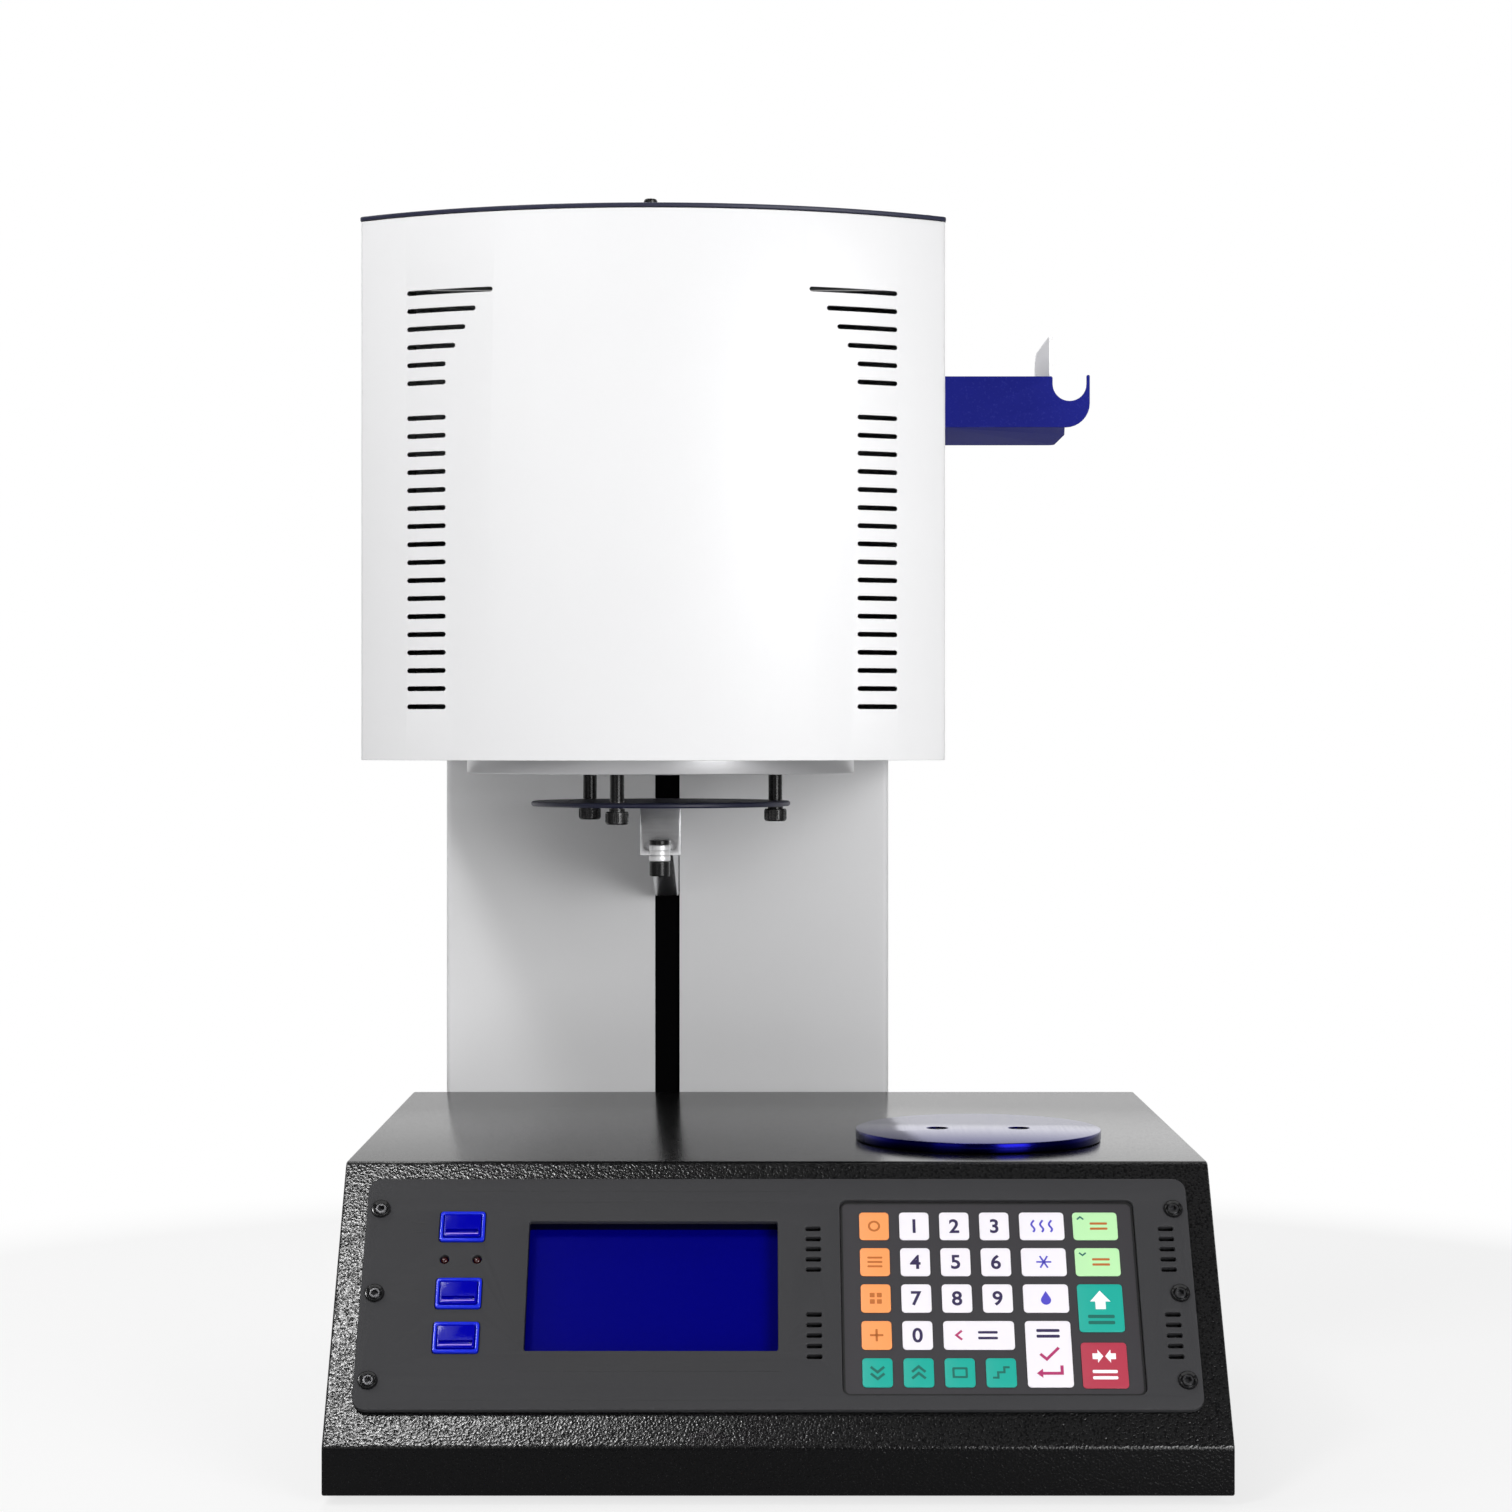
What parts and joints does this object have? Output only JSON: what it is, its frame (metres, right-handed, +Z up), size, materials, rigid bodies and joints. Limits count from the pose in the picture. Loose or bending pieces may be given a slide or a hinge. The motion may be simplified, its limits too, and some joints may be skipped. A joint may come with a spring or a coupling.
{
  "type": "dental laboratory furnace",
  "caption": "Bench-top dental furnace: sloped control console, rear column with lift slot, bow-fronted heating housing, and a lift table that closes the chamber from below.",
  "frame": {"origin": "on the bench, under the middle of the furnace's bounding box", "axes": "+Z up; the control panel faces -Y; +X to the right when looking at the panel"},
  "size_m": [0.4, 0.49, 0.588],
  "materials": {
    "black_powder_coat": "fine-textured black powder coat",
    "fascia_coat": "matt dark grey coat",
    "white_powder_coat": "smooth white powder coat",
    "navy_powder_coat": "dark navy coat",
    "blue_powder_coat": "satin blue coat",
    "blue_anodised": "blue anodised",
    "bare_aluminium": "machined",
    "zinc_sheet": "zinc-plated sheet",
    "bright_steel": "ground steel",
    "pale_steel": "satin stainless sheet",
    "black_steel": "blackened steel",
    "foot_rubber": "matt rubber",
    "seal_rubber": "red-brown silicone",
    "black_plastic": "black moulding",
    "button_blue": "glossy blue key cap",
    "bezel_blue": "glossy lighter blue frame",
    "display_blue": "unlit blue display",
    "keypad_film": "printed membrane with coloured keys",
    "led_red": "unlit red lens",
    "circuit_board": "green circuit board",
    "winding_copper": "wound copper",
    "ceramic_fibre": "white fibre block",
    "fired_ceramic": "unglazed ceramic",
    "fused_quartz": "milky quartz tube"
  },
  "bodies": {
    "cabinet": {"bottom_plate": "zinc_sheet", "rubber_foot_1": "foot_rubber", "rubber_foot_2": "foot_rubber", "rubber_foot_3": "foot_rubber", "rubber_foot_4": "foot_rubber", "base_shell": "black_powder_coat", "control_fascia": "fascia_coat", "fascia_screw_1": "black_steel", "fascia_screw_2": "black_steel", "fascia_screw_3": "black_steel", "fascia_screw_4": "black_steel", "fascia_screw_5": "black_steel", "fascia_screw_6": "black_steel", "lcd_glass": "display_blue", "keypad_overlay": "keypad_film", "button_bezel": "bezel_blue", "control_board": "circuit_board", "indicator_leds": "led_red", "cooling_plate": "blue_anodised", "cooling_plate_screw_1": "black_steel", "cooling_plate_screw_2": "black_steel", "mains_inlet": "black_plastic", "vacuum_outlet": "bare_aluminium", "power_transformer": "winding_copper", "column_shell": "white_powder_coat", "column_back_cover": "white_powder_coat", "lower_bearing_plate": "bare_aluminium", "upper_bearing_plate": "bare_aluminium", "guide_rod_1": "bright_steel", "guide_rod_2": "bright_steel", "lift_motor": "black_steel", "housing_wrap": "white_powder_coat", "housing_back": "white_powder_coat", "housing_floor": "zinc_sheet", "top_cover": "navy_powder_coat", "top_cover_screw": "black_steel", "chamber_flange": "bare_aluminium", "chamber_can": "zinc_sheet", "chamber_insulation": "ceramic_fibre", "heating_muffle": "fused_quartz", "thermocouple": "fired_ceramic", "tool_holder": "blue_powder_coat", "holder_end_plate": "pale_steel"},
    "lift": {"lift_carriage": "bare_aluminium", "lift_arm": "bright_steel", "hose_fitting": "black_plastic", "fitting_ring": "bare_aluminium", "platform_plate": "navy_powder_coat", "platform_bolt_1": "black_steel", "platform_bolt_2": "black_steel", "platform_bolt_3": "black_steel", "carrier_plate": "bare_aluminium", "chamber_seal": "seal_rubber", "insulating_plug": "ceramic_fibre", "firing_tray": "fired_ceramic"},
    "screw": {"lead_screw": "bright_steel"},
    "upper_button": {"upper_push_button": "button_blue"},
    "middle_button": {"middle_push_button": "button_blue"},
    "lower_button": {"lower_push_button": "button_blue"},
    "rocker": {"mains_rocker": "black_plastic"}
  },
  "joints": [
    {"name": "table_lift", "type": "slide", "parent": "cabinet", "child": "lift", "axis": [0, 0, -1], "range_m": [0, 0.105]},
    {"name": "lead_screw_spin", "type": "hinge", "parent": "cabinet", "child": "screw", "pos_m": [-0.059, 0.185, 0.2], "axis": [0, 0, 1], "range_deg": [0, 4730]},
    {"name": "upper_button_press", "type": "slide", "parent": "cabinet", "child": "upper_button", "axis": [0, 0.8017, -0.5978], "range_m": [0, 0.0025], "stiffness_N_per_m": 300},
    {"name": "middle_button_press", "type": "slide", "parent": "cabinet", "child": "middle_button", "axis": [0, 0.8017, -0.5978], "range_m": [0, 0.0025], "stiffness_N_per_m": 300},
    {"name": "lower_button_press", "type": "slide", "parent": "cabinet", "child": "lower_button", "axis": [0, 0.8017, -0.5978], "range_m": [0, 0.0025], "stiffness_N_per_m": 300},
    {"name": "mains_rocker_tilt", "type": "hinge", "parent": "cabinet", "child": "rocker", "pos_m": [0.132, 0.1369, 0.053], "axis": [1, 0, 0], "range_deg": [0, 16]}
  ],
  "couplings": [
    {"joint": "lead_screw_spin", "follows": "table_lift", "rad_per_m": 785.4}
  ]
}
